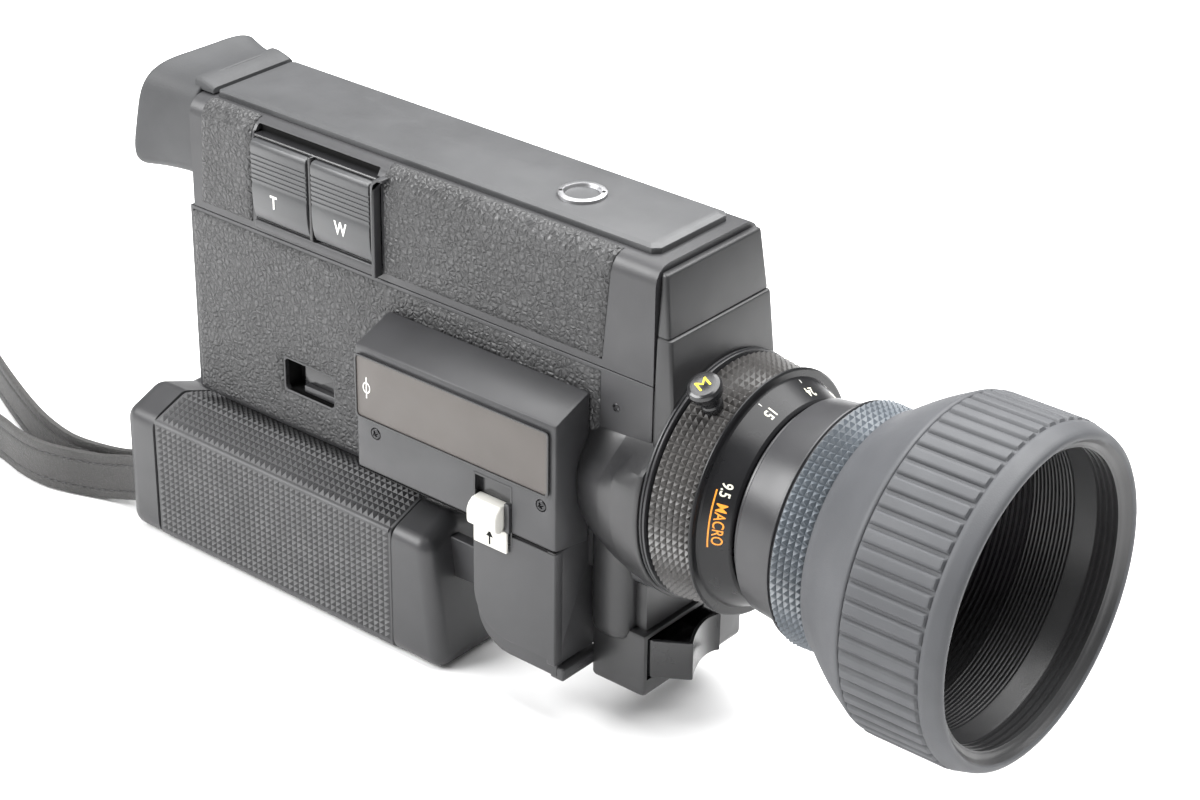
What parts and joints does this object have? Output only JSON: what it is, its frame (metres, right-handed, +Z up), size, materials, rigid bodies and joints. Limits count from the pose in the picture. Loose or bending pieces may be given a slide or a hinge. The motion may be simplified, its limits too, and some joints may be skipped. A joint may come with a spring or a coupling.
{
  "type": "cine camera",
  "caption": "Hand-held 8 mm cine camera with a folding grip, zoom lens in a rubber hood, rubber eyecup and leather wrist strap.",
  "frame": {"origin": "on the folded grip's base, straight under the lens axis", "axes": "+X along the lens axis to the subject, -Y to the operator's right, +Z up"},
  "size_m": [0.441, 0.0862, 0.1353],
  "materials": {
    "lower_body": "fine satin black",
    "upper_cover": "fine satin black",
    "top_plate": "satin black paint",
    "socket_ring": "bright",
    "leather_upper_rear": "pebbled black",
    "leather_upper_front": "pebbled black",
    "leather_lower": "pebbled black",
    "leather_left": "pebbled black",
    "front_plate": "satin black paint",
    "key_surround": "fine satin black",
    "side_housing": "fine satin black",
    "housing_screw_rear": "bright",
    "housing_screw_front": "bright",
    "label_plate": "brown-grey satin",
    "arm_plate": "fine satin black",
    "grip_pin": "bright",
    "grip_bracket": "fine satin black",
    "lens_mount_shell": "fine satin black",
    "lens_flange": "fine satin black",
    "lens_barrel": "fine satin black",
    "front_glass": "coated",
    "rear_glass": "coated",
    "front_lens_ring": "fine satin black",
    "front_block": "fine satin black",
    "tripod_bush": "bright",
    "eyecup": "matt moulded rubber",
    "eyepiece_tube": "fine satin black",
    "eyepiece_glass": "coated",
    "door_pin": "bright",
    "film_cartridge": "yellow label",
    "mechanism_plate": "bright",
    "film_gate": "bright",
    "motor": "bright",
    "prism_block": "coated",
    "zoom_motor": "bright",
    "zoom_ring": "fine satin black",
    "macro_knob": "fine satin black",
    "focus_ring": "fine satin black",
    "rubber_hood": "matt moulded rubber",
    "key_t": "fine satin black",
    "key_w": "fine satin black",
    "grip_slide": "ivory",
    "trigger": "satin black paint",
    "grip_shell": "fine satin black",
    "grip_sleeve": "matt moulded rubber",
    "grip_front_cap": "fine satin black",
    "grip_rear_cap": "fine satin black",
    "strap_bar": "bright",
    "battery_1": "printed sleeve",
    "battery_2": "printed sleeve",
    "battery_3": "printed sleeve",
    "battery_4": "printed sleeve",
    "wrist_strap": "pebbled black",
    "film_door": "satin black paint",
    "door_window": "coated",
    "door_latch": "bright",
    "drive_spindle": "turned",
    "shutter_disc": "satin black paint",
    "motor_pinion": "turned",
    "zoom_pinion": "turned"
  },
  "bodies": {
    "camera_body": {"lower_body": "lower_body", "upper_cover": "upper_cover", "top_plate": "top_plate", "socket_ring": "socket_ring", "leather_upper_rear": "leather_upper_rear", "leather_upper_front": "leather_upper_front", "leather_lower": "leather_lower", "leather_left": "leather_left", "front_plate": "front_plate", "key_surround": "key_surround", "side_housing": "side_housing", "housing_screw_rear": "housing_screw_rear", "housing_screw_front": "housing_screw_front", "label_plate": "label_plate", "arm_plate": "arm_plate", "grip_pin": "grip_pin", "grip_bracket": "grip_bracket", "lens_mount_shell": "lens_mount_shell", "lens_flange": "lens_flange", "lens_barrel": "lens_barrel", "front_glass": "front_glass", "rear_glass": "rear_glass", "front_lens_ring": "front_lens_ring", "front_block": "front_block", "tripod_bush": "tripod_bush", "eyecup": "eyecup", "eyepiece_tube": "eyepiece_tube", "eyepiece_glass": "eyepiece_glass", "door_pin": "door_pin", "film_cartridge": "film_cartridge", "mechanism_plate": "mechanism_plate", "film_gate": "film_gate", "motor": "motor", "prism_block": "prism_block", "zoom_motor": "zoom_motor"},
    "zoom_ring": {"zoom_ring": "zoom_ring"},
    "macro_knob": {"macro_knob": "macro_knob"},
    "focus_ring": {"focus_ring": "focus_ring", "rubber_hood": "rubber_hood"},
    "key_t": {"key_t": "key_t"},
    "key_w": {"key_w": "key_w"},
    "grip_slide": {"grip_slide": "grip_slide"},
    "trigger": {"trigger": "trigger"},
    "grip": {"grip_shell": "grip_shell", "grip_sleeve": "grip_sleeve", "grip_front_cap": "grip_front_cap", "grip_rear_cap": "grip_rear_cap", "strap_bar": "strap_bar", "battery_1": "battery_1", "battery_2": "battery_2", "battery_3": "battery_3", "battery_4": "battery_4", "wrist_strap": "wrist_strap"},
    "film_door": {"film_door": "film_door", "door_window": "door_window"},
    "door_latch": {"door_latch": "door_latch"},
    "drive_spindle": {"drive_spindle": "drive_spindle"},
    "shutter": {"shutter_disc": "shutter_disc"},
    "motor_rotor": {"motor_pinion": "motor_pinion"},
    "zoom_pinion": {"zoom_pinion": "zoom_pinion"}
  },
  "joints": [
    {"name": "zoom_turn", "type": "hinge", "parent": "camera_body", "child": "zoom_ring", "pos_m": [0.1344, 0, 0.0704], "axis": [1, 0, 0], "range_deg": [-60, 15]},
    {"name": "macro_pull", "type": "slide", "parent": "zoom_ring", "child": "macro_knob", "axis": [0, -0.4833, 0.8755], "range_m": [0, 0.002]},
    {"name": "focus_turn", "type": "hinge", "parent": "camera_body", "child": "focus_ring", "pos_m": [0.168, 0, 0.0704], "axis": [1, 0, 0], "range_deg": [-90, 90]},
    {"name": "key_t_press", "type": "slide", "parent": "camera_body", "child": "key_t", "axis": [0, 1, 0], "range_m": [0, 0.0012], "stiffness_N_per_m": 800},
    {"name": "key_w_press", "type": "slide", "parent": "camera_body", "child": "key_w", "axis": [0, 1, 0], "range_m": [0, 0.0012], "stiffness_N_per_m": 800},
    {"name": "grip_slide_up", "type": "slide", "parent": "camera_body", "child": "grip_slide", "axis": [0, 0, 1], "range_m": [0, 0.003], "stiffness_N_per_m": 400},
    {"name": "trigger_pull", "type": "slide", "parent": "camera_body", "child": "trigger", "axis": [-1, 0, 0], "range_m": [0, 0.003], "stiffness_N_per_m": 500},
    {"name": "grip_fold", "type": "hinge", "parent": "camera_body", "child": "grip", "pos_m": [0.0885, -0.0257, 0.0327], "axis": [0, -1, 0], "range_deg": [0, 90]},
    {"name": "door_swing", "type": "hinge", "parent": "camera_body", "child": "film_door", "pos_m": [0.0436, 0.0196, 0.0814], "axis": [0, 0, -1], "range_deg": [0, 110]},
    {"name": "latch_slide", "type": "slide", "parent": "film_door", "child": "door_latch", "axis": [0, 0, 1], "range_m": [0, 0.0035]},
    {"name": "spindle_spin", "type": "hinge", "parent": "camera_body", "child": "drive_spindle", "pos_m": [0.002, -0.0115, 0.0799], "axis": [0, 1, 0], "continuous": true},
    {"name": "shutter_spin", "type": "hinge", "parent": "camera_body", "child": "shutter", "pos_m": [0.0524, 0, 0.0914], "axis": [1, 0, 0], "continuous": true},
    {"name": "motor_spin", "type": "hinge", "parent": "camera_body", "child": "motor_rotor", "pos_m": [0.0528, -0.001, 0.1046], "axis": [1, 0, 0], "continuous": true},
    {"name": "zoom_motor_spin", "type": "hinge", "parent": "camera_body", "child": "zoom_pinion", "pos_m": [0.1235, 0.01716, 0.08756], "axis": [1, 0, 0], "range_deg": [-110, 420]}
  ],
  "couplings": [
    {"joint": "shutter_spin", "follows": "motor_spin", "ratio": -0.4},
    {"joint": "spindle_spin", "follows": "motor_spin", "ratio": -0.008},
    {"joint": "zoom_motor_spin", "follows": "zoom_turn", "ratio": -6.4}
  ]
}
